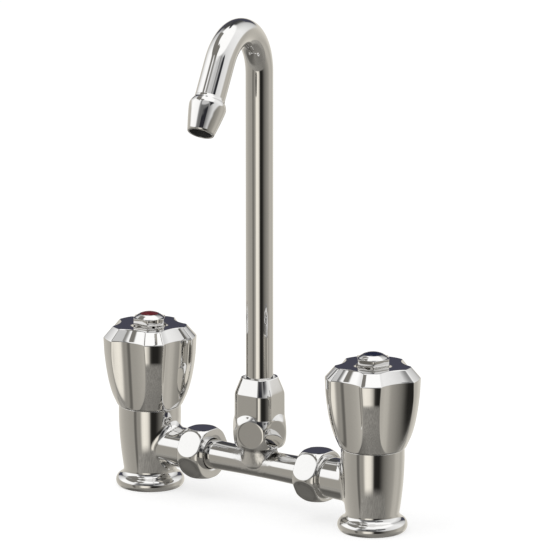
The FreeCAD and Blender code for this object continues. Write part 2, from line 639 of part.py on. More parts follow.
def handle():
    corner_z = HANDLE_CORNER_Z
    lands = [(r, HANDLE_RIM_Z - drop) for drop, r in reversed(HANDLE_LANDS)]
    grip = revolved((0, HANDLE_FOOT_Z), [
        (HANDLE_FOOT_R, HANDLE_FOOT_Z),
        [((HANDLE_FOOT_R + 3 * HANDLE_CORNER_R) / 4, (HANDLE_FOOT_Z + corner_z) / 2),
         (HANDLE_CORNER_R, corner_z)],
        lands + [(HANDLE_RIM_R, HANDLE_RIM_Z)],
        (0, HANDLE_RIM_Z),
        (0, HANDLE_FOOT_Z),
    ])
    grip = grip.cut(Part.makeCompound([flute_cutter(i) for i in range(LOBES)]))
    rim_face = max((f for f in grip.Faces if is_level(f)), key=lambda f: f.CenterOfMass.z)
    top_wire = scaled_outline(rim_face.OuterWire)
    bevel = Part.makeLoft([rim_face.OuterWire, top_wire], True, True)
    cavity = handle_cavity()
    hub = disc(HUB_R, SPINDLE_SHOULDER_Z, ROOF_Z)
    blank = grip.fuse(bevel).cut(cavity).fuse(hub)
    cuts = [
        square_bar(SPINDLE_SQUARE, SPINDLE_SHOULDER_Z, SPINDLE_TOP_Z),
        disc(SCREW_R, SPINDLE_TOP_Z, SCREW_SEAT_Z),
        disc(SCREW_HEAD_R + SEAT_GAP, SCREW_SEAT_Z, CAP_FOOT_Z),
        disc(CAP_PLUG_R, CAP_FOOT_Z, HANDLE_TOP_Z),
    ]
    return blank.cut(Part.makeCompound(cuts))


def is_level(face):
    normal = face.normalAt(0, 0)
    flat = face.BoundBox.ZLength < LEVEL_TOLERANCE
    return flat and abs(abs(normal.z) - 1) < LEVEL_TOLERANCE


def scaled_outline(wire):
    matrix = FreeCAD.Matrix()
    matrix.scale(Vector(BEVEL_IN, BEVEL_IN, 1))
    matrix.move(Vector(0, 0, BEVEL_H))
    return wire.transformGeometry(matrix)


# The hollow follows the bottoms of the flutes so that the wall is never thinner than HANDLE_WALL.
def handle_cavity():
    foot_r = HANDLE_FOOT_R - HANDLE_WALL
    top_r = HANDLE_RIM_R - FLUTE_DEPTH - HANDLE_WALL
    return revolved((0, HANDLE_FOOT_Z), [
        (foot_r, HANDLE_FOOT_Z),
        (HANDLE_CORNER_R - FLUTE_RUNOUT - HANDLE_WALL, HANDLE_CORNER_Z + HANDLE_WALL),
        (top_r - HANDLE_WALL / 2, HANDLE_RIM_Z - HANDLE_LANDS[0][0]),
        (top_r - HANDLE_WALL, ROOF_Z),
        (0, ROOF_Z),
        (0, HANDLE_FOOT_Z),
    ])


def handle_screw():
    head_top = SCREW_SEAT_Z + SCREW_HEAD_H
    screw = disc(SCREW_HEAD_R, SCREW_SEAT_Z, head_top)
    screw = screw.fuse(disc(SCREW_R, SPINDLE_TOP_Z - SCREW_DEPTH, SCREW_SEAT_Z))
    return screw.cut(disc(SCREW_SOCKET_R, head_top - SCREW_SOCKET_H, head_top))


def handle_cap():
    flat = CAP_R * math.cos(math.pi / CAP_SIDES)
    block = polygon_bar(CAP_SIDES, flat, HANDLE_TOP_Z, CAP_TOP_Z, 180.0 / CAP_SIDES)
    dome_radius = (DOME_R * DOME_R + DOME_H * DOME_H) / (2 * DOME_H)
    dome = Part.makeSphere(dome_radius, Vector(0, 0, CAP_TOP_Z + DOME_H - dome_radius))
    dome = dome.common(disc(DOME_R, CAP_TOP_Z, CAP_TOP_Z + DOME_H))
    plug = disc(CAP_PLUG_R, CAP_FOOT_Z, HANDLE_TOP_Z)
    return block.fuse([dome, plug]).cut(disc(INDEX_R, INDEX_FOOT_Z, INDEX_TOP_Z))


def index_disc():
    edge_z = INDEX_TOP_Z - INDEX_RISE
    radius = (INDEX_R * INDEX_R + INDEX_RISE * INDEX_RISE) / (2 * INDEX_RISE)
    crown = Part.makeSphere(radius, Vector(0, 0, INDEX_TOP_Z - radius))
    return disc(INDEX_R, INDEX_FOOT_Z, INDEX_TOP_Z).common(crown.fuse(disc(INDEX_R, INDEX_FOOT_Z, edge_z)))


# ---------------------------------------------------------------- the assembly
def valve_side(side, lobe_turn, cap_turn):
    x = -VALVE_X if side == "left" else VALVE_X
    facing = 0 if side == "left" else 180
    fixed = {
        "valve_body": valve_body(),
        "base_gasket": deck_gasket(),
        "bonnet_gasket": bonnet_gasket(),
        "bonnet": bonnet(),
        "spindle": spindle(),
        "stem_seals": stem_seals(),
        "spindle_clip": spindle_clip(),
        "jumper": jumper(),
        "seat_washer": seat_washer(),
        "washer_screw": washer_screw(),
        "handle_screw": handle_screw(),
        "index_disc": index_disc(),
    }
    nodes = {}
    for name, shape in fixed.items():
        nodes[side + "_" + name] = moved(turned(shape, facing), x, 0, 0)
    nodes[side + "_handle"] = moved(handle_with_level_drive(lobe_turn), x, 0, 0)
    nodes[side + "_handle_cap"] = moved(turned(handle_cap(), cap_turn), x, 0, 0)
    bridge_side = 180 if side == "left" else 0
    nodes[side + "_union_nut"] = turned(laid_on_bridge(union_nut()), bridge_side)
    nodes[side + "_union_washer"] = turned(laid_on_bridge(union_washer()), bridge_side)
    return nodes


# The handle is turned to its rest position while its square socket stays in line with the spindle.
def handle_with_level_drive(lobe_turn):
    drive = square_bar(SPINDLE_SQUARE, SPINDLE_SHOULDER_Z, SPINDLE_TOP_Z)
    plug = disc(HUB_R - HANDLE_WALL / 2, SPINDLE_SHOULDER_Z, SPINDLE_TOP_Z)
    return turned(handle(), lobe_turn).fuse(plug).cut(drive).removeSplitter()


NODES = {
    "bridge_tube": bridge_tube(),
    "spout_nut": spout_nut(),
    "thrust_washer": thrust_washer(),
    "slip_bush": slip_bush(),
    "spout_tube": spout_tube(),
    "spout_seals": spout_seals(),
    "spout_retaining_ring": retaining_ring(),
    "outlet_nozzle": outlet_nozzle(),
    "aerator_washer": aerator_washer(),
    "aerator_insert": aerator_insert(),
}
NODES.update(valve_side("left", LEFT_LOBE_TURN, LEFT_CAP_TURN))
NODES.update(valve_side("right", RIGHT_LOBE_TURN, RIGHT_CAP_TURN))

os.makedirs("parts", exist_ok=True)
for node, solid in NODES.items():
    solid.exportStep("parts/" + node + ".step")
    print(node, len(solid.Solids), round(solid.Volume, 1), solid.isValid())
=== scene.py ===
import json
import math

import bpy
from mathutils import Matrix, Vector, noise


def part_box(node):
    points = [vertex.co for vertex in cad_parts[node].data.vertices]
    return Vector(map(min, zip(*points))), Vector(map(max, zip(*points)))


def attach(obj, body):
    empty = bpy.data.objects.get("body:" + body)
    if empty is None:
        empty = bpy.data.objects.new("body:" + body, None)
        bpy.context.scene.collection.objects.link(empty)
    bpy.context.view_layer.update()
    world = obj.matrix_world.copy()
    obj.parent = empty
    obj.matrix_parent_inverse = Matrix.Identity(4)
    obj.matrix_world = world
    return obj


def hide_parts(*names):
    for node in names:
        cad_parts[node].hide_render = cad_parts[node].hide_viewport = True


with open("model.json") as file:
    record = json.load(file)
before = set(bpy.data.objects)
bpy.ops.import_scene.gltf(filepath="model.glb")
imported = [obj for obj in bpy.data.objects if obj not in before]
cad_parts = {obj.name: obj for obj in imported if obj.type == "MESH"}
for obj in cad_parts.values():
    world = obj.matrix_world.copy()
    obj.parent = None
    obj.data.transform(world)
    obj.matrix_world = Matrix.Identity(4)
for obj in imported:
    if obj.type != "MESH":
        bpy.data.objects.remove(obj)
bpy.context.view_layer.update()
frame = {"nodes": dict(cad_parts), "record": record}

# Bridge kitchen tap. Metres. The chromed outer pieces get finer skins with eased edges over the packed
# part, except the valve bodies. The other nodes keep their shapes and get their materials here.


def middle(node):
    """Middle of a node's box at rest."""
    low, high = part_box(node)
    return (low + high) / 2


# ---------------------------------------------------------------- places, read from the frame
VALVE_X = middle("right_base_gasket").x
BRIDGE_Z = middle("right_union_nut").z
UNION_NUT_X = middle("right_union_nut").x
HANDLE_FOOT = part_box("right_handle")[0].z
HANDLE_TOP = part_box("right_handle")[1].z
SPOUT_NUT_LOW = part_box("spout_nut")[0].z
SPOUT_NUT_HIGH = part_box("spout_nut")[1].z
SPOUT_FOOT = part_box("spout_tube")[0].z
FULL_TURN = 2 * math.pi
SIGN = {"left": -1, "right": 1}

# ---------------------------------------------------------------- edges
EDGE = 0.0005                # length over which a plated edge is eased
CREASE = 0.0004              # the same for an edge between two curved faces
EDGE_STEPS = ((0.45, 0.12), (0.12, 0.45), (0.0, 1.0))    # from the end face and from the side, in EDGEs

# ---------------------------------------------------------------- union nuts
NUT_BALL_R = 0.0186
NUT_FLATS = 6
NUT_FLAT_D = 0.0163
UNION_HALF_W = 0.0085
UNION_THREAD_R = 0.0132
UNION_LIP_R = 0.0101
UNION_LIP_W = 0.0032
UNION_COLUMNS = 312
UNION_ROWS = 48

# ---------------------------------------------------------------- bridge tube and its brazed boss
BRIDGE_MID_R = 0.0090
BRIDGE_END_R = 0.0097
BRIDGE_BORE_R = 0.0069
BRIDGE_REACH = UNION_NUT_X - UNION_HALF_W    # to the inner end faces of the union nuts
COLLAR_R = 0.0123
COLLAR_W = 0.0030
BOSS_R = 0.0110
BOSS_TOP = 0.0330            # over the bridge axis
BOSS_WALL_END = 0.0150       # height over the bridge axis where the foot starts to turn
BOSS_FOOT_REACH = 0.0135     # of the brazed foot along the tube
BOSS_FOOT_WRAP = math.radians(104.0)     # how far the foot goes round the tube from its top
BOSS_FOOT_SWELL = 0.0113
BRAZE_SINK = 0.00005         # of the foot's end under the skin of the tube
BRAZE_TURN = 0.0008          # height of the round between the boss and the tube
BRAZE_LUMP = 0.00010
LUMP_SCALE = 7               # of the noise round the boss
LUMP_RUN = 6                 # how far the noise runs on down the foot
LUMP_FADE = 1.3              # share of the way down the foot towards which the lumps fade
BRIDGE_COLUMNS = 128
BRIDGE_ROWS = 96
BOSS_WALL_ROWS = 6
BOSS_FOOT_ROWS = 22

# ---------------------------------------------------------------- spout and nozzle
SPOUT_R = 0.0088             # of the riser
SPOUT_TIP_R = 0.0096
SPOUT_WALL = 0.0020
SPOUT_TURN = math.radians(11.0)
BEND_R = 0.0310
BEND_RISE = 0.2570           # middle of the bend over the bridge axis
BEND_Z = BRIDGE_Z + BEND_RISE
DROP_LEAN = math.radians(33.7)
BEND_END = math.pi - DROP_LEAN
LEG_LENGTH = 0.0250
LEG_AXIS = Vector((math.sin(BEND_END), 0, math.cos(BEND_END)))
FORWARD = Matrix.Rotation(SPOUT_TURN - math.pi / 2, 4, "Z")
NOZZLE_LENGTH = 0.0240
NOZZLE_SOCKET = 0.0070
NOZZLE_OUTLINE = ((0.0, 0.00968), (0.0016, 0.0100), (0.0034, 0.0111), (0.0060, 0.0118), (0.0140, 0.0106),
                  (0.0236, 0.0086))      # distance from the shoulder, radius
NOZZLE_TIP_R = 0.0085
NOZZLE_LIP = 0.00015         # easing of the lip
NOZZLE_MOUTH_R = 0.0073
NOZZLE_STEP_R = 0.0066
NOZZLE_STEP_END = 0.0090
SPOUT_COLUMNS = 96
RISER_ROWS = 40
BEND_ROWS = 64
LEG_ROWS = 8
NOZZLE_COLUMNS = 128

# ---------------------------------------------------------------- spout nut, heights over the bridge axis
BALL_RISE = 0.0224           # middle of the ball
SLOPE_RISE = 0.0472          # foot of the sloped top
NUT_BAR_R = 0.0162           # round upper part
NUT_BAR_FLATS = 4            # spanner flats on it
NUT_BAR_D = 0.0142
NUT_TOP_R = 0.0118
NUT_BALL_TURN = math.radians(-15.0)
NUT_BAR_TURN = math.radians(4.0)
NUT_CREASE_RISE = 0.0090     # over the ball's middle, where the upper part stands clear of the ball
NUT_RECESS_R = 0.0100
NUT_RECESS_H = 0.0065
NUT_HOLE_R = SPOUT_R + EDGE / 2      # close hole under the recess
NUT_HOLE_H = 0.0065
SPOUT_NUT_COLUMNS = 360
SPOUT_NUT_ROWS = 150

# ---------------------------------------------------------------- handles
BEVEL_H = 0.0074
BEVEL_IN = 0.785             # flat top's outline as a share of the rim
BEVEL_ROWS = (0.3, 0.5, 0.7)         # shares of the bevel's height
RIM_R = 0.0308
RIM_Z = HANDLE_TOP - BEVEL_H
CORNER_R = 0.0217
CORNER_RISE = 0.0010
CORNER_Z = HANDLE_FOOT + CORNER_RISE
FOOT_R = 0.0209
FOOT_SWELL_R = (FOOT_R + 3 * CORNER_R) / 4
LANDS = ((0.0126, 0.0301), (0.0272, 0.0279), (0.0374, 0.0251))    # drop under the rim, radius
LOBES = 5
FLUTE_R = 0.0240
FLUTE_DEPTH = 0.0060
FLUTE_RUNOUT = 0.0010
EDGE_CLEAR = EDGE * 1.4      # from an edge to the nearest row that its easing leaves alone
TOP_INSIDE = 0.6             # row on the flat top, as a share of its outline
TOP_EASE = 0.05              # share of the way to that row over which the top's edge is eased
TOP_CLEAR = 0.07
HANDLE_WALL = 0.0024
HANDLE_ROOF = 0.0050         # thickness of the handle's top
HOLLOW_ROOF_R = RIM_R - FLUTE_DEPTH - 2 * HANDLE_WALL
HOLLOW_R = RIM_R - FLUTE_DEPTH - 1.5 * HANDLE_WALL
HUB_R = 0.0080
HUB_BORE_R = 0.0039
HUB_LENGTH = 0.0180
LOBE_TURN = {"left": math.radians(-46.5), "right": math.radians(-56.5)}
OUTLINE_ROWS = 9             # between two given places of an outline
FLUTE_COLUMNS = 12
LAND_COLUMNS = 10
FOOT_ROWS = 8

# ---------------------------------------------------------------- handle caps
CAP_SIDES = 6
CAP_R = 0.0116
CAP_H = 0.0048
CAP_EASE = 0.0004            # length over which the cap's top edge is eased
CAP_EASE_IN = 0.35           # the same on its top, as a share of the way to the dome
CAP_ROUND = 0.985            # how far its corners are rounded, as a share of the corner radius
CAP_PLUG_R = 0.0066
CAP_PLUG_H = 0.0026
DOME_R = 0.0099
DOME_H = 0.0036
INDEX_R = 0.0059
INDEX_PLAY = 0.0002          # between the dome's opening and the index disc
INDEX_SINK = 0.00205         # seat of the index disc under the top of the dome
PINHOLE_R = INDEX_R / 50     # lets the seat run on into the plug
CAP_TURN = {"left": math.radians(-57.5), "right": math.radians(-51.0)}
CAP_COLUMNS = 240
DOME_ROWS = 12


# ---------------------------------------------------------------- mesh helpers
def new_piece(name, places, faces):
    mesh = bpy.data.meshes.new(name)
    mesh.from_pydata(places, [], faces)
    mesh.polygons.foreach_set("use_smooth", [True] * len(faces))
    mesh.update()
    piece = bpy.data.objects.new(name, mesh)
    bpy.context.scene.collection.objects.link(piece)
    return piece


def ring_faces(rings, first=0):
    """Quads between neighbouring rings of equally many places, the last ring tied to the first."""
    count = len(rings[0])
    faces = []
    for i in range(len(rings)):
        low = first + i * count
        high = first + (i + 1) % len(rings) * count
        for j in range(count):
            k = (j + 1) % count
            faces.append((low + j, low + k, high + k, high + j))
    return faces


def ring_piece(name, rings):
    """A closed skin whose last ring is tied to its first, such as a bored nut or a tube with walls."""
    places = [place for ring in rings for place in ring]
    return new_piece(name, places, ring_faces(rings))


def place_rings(rings, matrix):
    return [[matrix @ place for place in ring] for ring in rings]


def outline_ring(radius_at, z, count):
    """A ring at one height whose radius is given for each angle."""
    ring = []
    for i in range(count):
        angle = i * (FULL_TURN / count)
        radius = radius_at(angle)
        ring.append(Vector((radius * math.cos(angle), radius * math.sin(angle), z)))
    return ring


def circle(radius, z, count):
    return outline_ring(lambda angle: radius, z, count)


def lathe_rings(line, count):
    return [circle(r, z, count) for r, z in line]


def mix_rings(a, b, share):
    return [p.lerp(q, share) for p, q in zip(a, b)]


def eased_edge(before, edge, after, steps=5):
    """Rings that ease the edge ring between two neighbouring rings."""
    rings = []
    for k in range(steps + 1):
        t = k / steps
        rings.append(mix_rings(mix_rings(before, edge, t), mix_rings(edge, after, t), t))
    return rings


def softest(a, b, ease=CREASE):
    """The smaller of two radii, with the edge between them eased."""
    return (a + b - math.sqrt((a - b) ** 2 + ease * ease)) / 2


def largest(a, b, ease=CREASE):
    """The larger of two radii, with the edge between them eased."""
    return (a + b + math.sqrt((a - b) ** 2 + ease * ease)) / 2


def spread(start, end, count):
    return [start + (end - start) * i / count for i in range(count + 1)]


def flat_radius(flat_distance, sides, angle):
    """Radius of a regular bar with flats, one flat facing angle 0."""
    pitch = FULL_TURN / sides
    off = (angle + pitch / 2) % pitch - pitch / 2
    return flat_distance / math.cos(off)


def curve_through(corners, count):
    """A smooth line of (radius, height) through places given as (height, radius)."""
    line = []
    last = len(corners) - 1
    for i in range(last):
        a = corners[max(i - 1, 0)]
        b = corners[i]
        c = corners[i + 1]
        d = corners[min(i + 2, last)]
        for k in range(count):
            t = k / count
            height = b[0] + (c[0] - b[0]) * t
            left = (c[1] - a[1]) / (c[0] - a[0]) * (c[0] - b[0])
            right = (d[1] - b[1]) / (d[0] - b[0]) * (c[0] - b[0])
            h0 = 2 * t ** 3 - 3 * t ** 2 + 1
            h1 = t ** 3 - 2 * t ** 2 + t
            h2 = 3 * t ** 2 - 2 * t ** 3
            h3 = t ** 3 - t ** 2
            line.append(Vector((b[1] * h0 + left * h1 + c[1] * h2 + right * h3, height)))
    line.append(Vector((corners[last][1], corners[last][0])))
    return line


# ---------------------------------------------------------------- union nuts and spout nut
def ball_flats(height, angle):
    """Radius of a ball with flats at a height over its middle."""
    ball = math.sqrt(max(NUT_BALL_R ** 2 - height ** 2, 0))
    return softest(ball, flat_radius(NUT_FLAT_D, NUT_FLATS, angle))


def union_nut(side):
    """Ball-shaped hexagon nut, its lip towards the middle of the bridge."""
    def outer_ring(height, inset):
        return outline_ring(lambda angle: ball_flats(height, angle) - inset, height, UNION_COLUMNS)

    rows = spread(EDGE - UNION_HALF_W, UNION_HALF_W - EDGE, UNION_ROWS)
    rings = [outer_ring(up * EDGE - UNION_HALF_W, inset * EDGE) for up, inset in reversed(EDGE_STEPS)]
    rings += [outer_ring(height, 0.0) for height in rows]
    rings += [outer_ring(UNION_HALF_W - up * EDGE, inset * EDGE) for up, inset in EDGE_STEPS]
    bore = [(UNION_THREAD_R, UNION_HALF_W), (UNION_THREAD_R, UNION_LIP_W - UNION_HALF_W),
            (UNION_LIP_R, UNION_LIP_W - UNION_HALF_W), (UNION_LIP_R, EDGE - UNION_HALF_W),
            (UNION_LIP_R + EDGE, -UNION_HALF_W)]
    rings += lathe_rings(bore, UNION_COLUMNS)
    lay = Matrix.Translation(middle(side + "_union_nut")) @ Matrix.Rotation(SIGN[side] * math.pi / 2, 4, "Y")
    return ring_piece(side + "_union_nut_skin", place_rings(rings, lay))


def spout_nut_radius(rise, angle):
    """Outline of the spout nut at a height over the bridge axis: a ball with flats, then a round bar with
    spanner flats and a sloped top."""
    over_ball = rise - BALL_RISE
    ball = ball_flats(over_ball, angle - NUT_BALL_TURN)
    if over_ball <= 0:
        return ball
    top_share = (rise - SLOPE_RISE) / (SPOUT_NUT_HIGH - BRIDGE_Z - SLOPE_RISE)
    shrink = softest(1.0, 1.0 - (1.0 - NUT_TOP_R / NUT_BAR_R) * top_share, CREASE / NUT_BAR_R)
    bar = softest(flat_radius(NUT_BAR_D, NUT_BAR_FLATS, angle - NUT_BAR_TURN), NUT_BAR_R) * shrink
    crease = CREASE * min(over_ball / NUT_CREASE_RISE, 1.0)
    return largest(ball, bar, crease)


def spout_nut():
    """Tall nut, bored for the boss from below and for the spout from above."""
    def outer_ring(z, inset):
        return outline_ring(lambda angle: spout_nut_radius(z - BRIDGE_Z, angle) - inset, z, SPOUT_NUT_COLUMNS)

    rings = [outer_ring(SPOUT_NUT_LOW, EDGE), outer_ring(SPOUT_NUT_LOW + EDGE / 4, EDGE / 4)]
    rings += [outer_ring(z, 0.0) for z in spread(SPOUT_NUT_LOW + EDGE, SPOUT_NUT_HIGH - EDGE, SPOUT_NUT_ROWS)]
    rings.append(outer_ring(SPOUT_NUT_HIGH - EDGE / 4, EDGE / 8))
    rings.append(outer_ring(SPOUT_NUT_HIGH, EDGE / 2))
    floor = SPOUT_NUT_HIGH - NUT_RECESS_H
    bore = [(NUT_RECESS_R, SPOUT_NUT_HIGH - EDGE / 4), (NUT_RECESS_R, floor), (NUT_HOLE_R, floor),
            (NUT_HOLE_R, floor - NUT_HOLE_H), (BOSS_R, floor - NUT_HOLE_H), (BOSS_R, SPOUT_NUT_LOW)]
    rings += lathe_rings(bore, SPOUT_NUT_COLUMNS)
    return ring_piece("spout_nut_skin", rings)


# ---------------------------------------------------------------- bridge tube with its brazed boss
def bridge_radius(x):
    """Waisted outline of the tube: an arc from the middle to the ends."""
    share = min(abs(x) / BRIDGE_REACH, 1.0)
    return BRIDGE_MID_R + (BRIDGE_END_R - BRIDGE_MID_R) * share * share


def boss_foot(angle):
    """Where the brazed foot of the boss ends on the tube, seen from the riser axis."""
    share = abs((angle + math.pi / 2) % math.pi - math.pi / 2) / (math.pi / 2)
    wrap = BOSS_FOOT_WRAP * math.sin(share * math.pi / 2)
    under = BRIDGE_MID_R - BRAZE_SINK
    y = math.copysign(under * math.sin(wrap), math.sin(angle))
    return Vector((BOSS_FOOT_REACH * math.cos(angle), y, under * math.cos(wrap)))


def boss_foot_ring(t):
    """One ring of the foot, from t 0 at the boss's wall to 1 on the tube."""
    ring = []
    for j in range(BRIDGE_COLUMNS):
        angle = j * (FULL_TURN / BRIDGE_COLUMNS)
        out = Vector((math.cos(angle), math.sin(angle), 0))
        end = boss_foot(angle)
        wall = out * BOSS_R + Vector((0, 0, BOSS_WALL_END))
        turn = out * BOSS_FOOT_SWELL + Vector((0, 0, end.z + BRAZE_TURN))
        spot = wall.lerp(turn, t).lerp(turn.lerp(end, t), t)
        lump = noise.noise(out * LUMP_SCALE + Vector((0, 0, t * LUMP_RUN))) * BRAZE_LUMP * t * (LUMP_FADE - t)
        ring.append(spot + out * lump + Vector((0, 0, BRIDGE_Z + lump)))
    return ring


def bridge_tube():
    """Bored tube with end collars, and the bored boss with its foot laid over the tube."""
    collar = BRIDGE_REACH + UNION_LIP_W
    line = [(bridge_radius(x), x) for x in spread(-collar, collar, BRIDGE_ROWS)]
    line += [(COLLAR_R, collar), (COLLAR_R, collar + COLLAR_W), (BRIDGE_BORE_R, collar + COLLAR_W),
             (BRIDGE_BORE_R, -collar - COLLAR_W), (COLLAR_R, -collar - COLLAR_W), (COLLAR_R, -collar)]
    lay = Matrix.Translation((0, 0, BRIDGE_Z)) @ Matrix.Rotation(math.pi / 2, 4, "Y")
    tube = place_rings(lathe_rings(line, BRIDGE_COLUMNS), lay)
    wall = [(BOSS_R, BRIDGE_Z + z) for z in spread(BOSS_TOP, BOSS_WALL_END, BOSS_WALL_ROWS)]
    bore = [(BRIDGE_BORE_R, BRIDGE_Z + BRIDGE_BORE_R), (BRIDGE_BORE_R, BRIDGE_Z + BOSS_TOP)]
    boss = lathe_rings(wall, BRIDGE_COLUMNS)
    boss += [boss_foot_ring(t) for t in spread(0.0, 1.0, BOSS_FOOT_ROWS)[1:]]
    boss += lathe_rings(bore, BRIDGE_COLUMNS)
    boss.reverse()           # its rings run downward, and reversed its faces look outward
    places = [place for ring in tube + boss for place in ring]
    faces = ring_faces(tube) + ring_faces(boss, len(tube) * BRIDGE_COLUMNS)
    return new_piece("bridge_tube_skin", places, faces)


# ---------------------------------------------------------------- spout and nozzle
def bend_spot(angle):
    """Place on the bend's centre line, in the plane of the spout."""
    return Vector((BEND_R - BEND_R * math.cos(angle), 0, BEND_Z + BEND_R * math.sin(angle)))


def along_spout(spot, angle):
    """Matrix that carries a shape built along Z to a place on the centre line."""
    return FORWARD @ Matrix.Translation(spot) @ Matrix.Rotation(angle, 4, "Y")


def spout_stations():
    """(place on the centre line, direction, outer radius) from the foot of the riser to the nozzle socket."""
    stations = [(Vector((0, 0, z)), 0.0, SPOUT_R) for z in spread(SPOUT_FOOT, BEND_Z, RISER_ROWS)]
    for angle in spread(0.0, BEND_END, BEND_ROWS)[1:]:
        share = angle / BEND_END
        stations.append((bend_spot(angle), angle, SPOUT_R + (SPOUT_TIP_R - SPOUT_R) * share))
    for length in spread(0.0, LEG_LENGTH + NOZZLE_SOCKET, LEG_ROWS)[1:]:
        stations.append((bend_spot(BEND_END) + LEG_AXIS * length, BEND_END, SPOUT_TIP_R))
    return stations


def spout_tube():
    """Tube with its wall, from the foot of the riser into the nozzle's socket."""
    outer = []
    inner = []
    for spot, angle, radius in spout_stations():
        place = along_spout(spot, angle)
        outer.append([place @ p for p in circle(radius, 0, SPOUT_COLUMNS)])
        inner.append([place @ p for p in circle(radius - SPOUT_WALL, 0, SPOUT_COLUMNS)])
    return ring_piece("spout_tube_skin", outer + inner[::-1])


def outlet_nozzle():
    """Tapered bulb round the tube's end. Its bore gets the second material, painted near black as shade."""
    outer = curve_through(NOZZLE_OUTLINE, OUTLINE_ROWS)
    lip = [(NOZZLE_TIP_R - NOZZLE_LIP, NOZZLE_LENGTH - NOZZLE_LIP),
           (NOZZLE_TIP_R - 3 * NOZZLE_LIP, NOZZLE_LENGTH), (NOZZLE_MOUTH_R + 2 * NOZZLE_LIP, NOZZLE_LENGTH)]
    bore = [(NOZZLE_MOUTH_R, NOZZLE_LENGTH - 2 * NOZZLE_LIP), (NOZZLE_MOUTH_R, NOZZLE_STEP_END),
            (NOZZLE_STEP_R, NOZZLE_STEP_END), (NOZZLE_STEP_R, NOZZLE_SOCKET), (SPOUT_TIP_R, NOZZLE_SOCKET),
            (SPOUT_TIP_R, 0.0)]
    line = outer + [Vector(corner) for corner in lip + bore]
    shoulder = along_spout(bend_spot(BEND_END) + LEG_AXIS * LEG_LENGTH, BEND_END)
    piece = ring_piece("outlet_nozzle_skin", place_rings(lathe_rings(line, NOZZLE_COLUMNS), shoulder))
    bore_start = (len(outer) + len(lip)) * NOZZLE_COLUMNS
    for polygon in piece.data.polygons[bore_start:]:
        polygon.material_index = 1
    return piece


# ---------------------------------------------------------------- handles
def on_valve(side, turn):
    """Matrix that turns a shape about its axis and carries it onto a valve."""
    return Matrix.Translation((VALVE_X * SIGN[side], 0, 0)) @ Matrix.Rotation(turn, 4, "Z")


def land_outline():
    """The lands' (radius, height) from the lower corner to the rim."""
    corners = [(CORNER_Z, CORNER_R)]
    corners += [(RIM_Z - drop, radius) for drop, radius in reversed(LANDS)]
    corners.append((RIM_Z, RIM_R))
    return curve_through(corners, OUTLINE_ROWS)


def flute_axis(z):
    """Distance from the handle axis to the axis of a scooped flute at a height."""
    low = CORNER_R - FLUTE_RUNOUT + FLUTE_R
    high = RIM_R - FLUTE_DEPTH + FLUTE_R
    return low + (high - low) * (z - CORNER_Z) / (RIM_Z - CORNER_Z)


def crease_angle(z, radius):
    """Angle between the middle of a flute and its edge."""
    axis = flute_axis(z)
    share = (radius * radius + axis * axis - FLUTE_R * FLUTE_R) / (2 * radius * axis)
    return math.acos(min(share, 1.0))


def column_angles(crease):
    """Angles from the middle of a flute to the middle of a land, closer together near the crease."""
    half = math.pi / LOBES
    inner = [crease * math.sin(t * math.pi / 2) for t in spread(0, 1, FLUTE_COLUMNS)]
    outer = [half - (half - crease) * math.sin(t * math.pi / 2) for t in spread(1, 0, LAND_COLUMNS)]
    return inner + outer[1:]


def handle_ring(z, land, crease, scale=1.0, height=None):
    """Outline of the handle at z, with flutes cut into lands of one radius. It may be scaled, and may be
    laid at another height."""
    axis = flute_axis(z)
    ring = []
    for lobe in range(LOBES):
        centre = (lobe + 0.5) * FULL_TURN / LOBES
        half = column_angles(crease)
        offsets = [-a for a in reversed(half[1:])] + half[:-1]
        for off in offsets:
            radius = land
            under = FLUTE_R ** 2 - (axis * math.sin(off)) ** 2
            if under > 0:
                radius = softest(land, axis * math.cos(off) - math.sqrt(under))
            angle = centre + off
            x = radius * scale * math.cos(angle)
            y = radius * scale * math.sin(angle)
            ring.append(Vector((x, y, z if height is None else height)))
    return ring


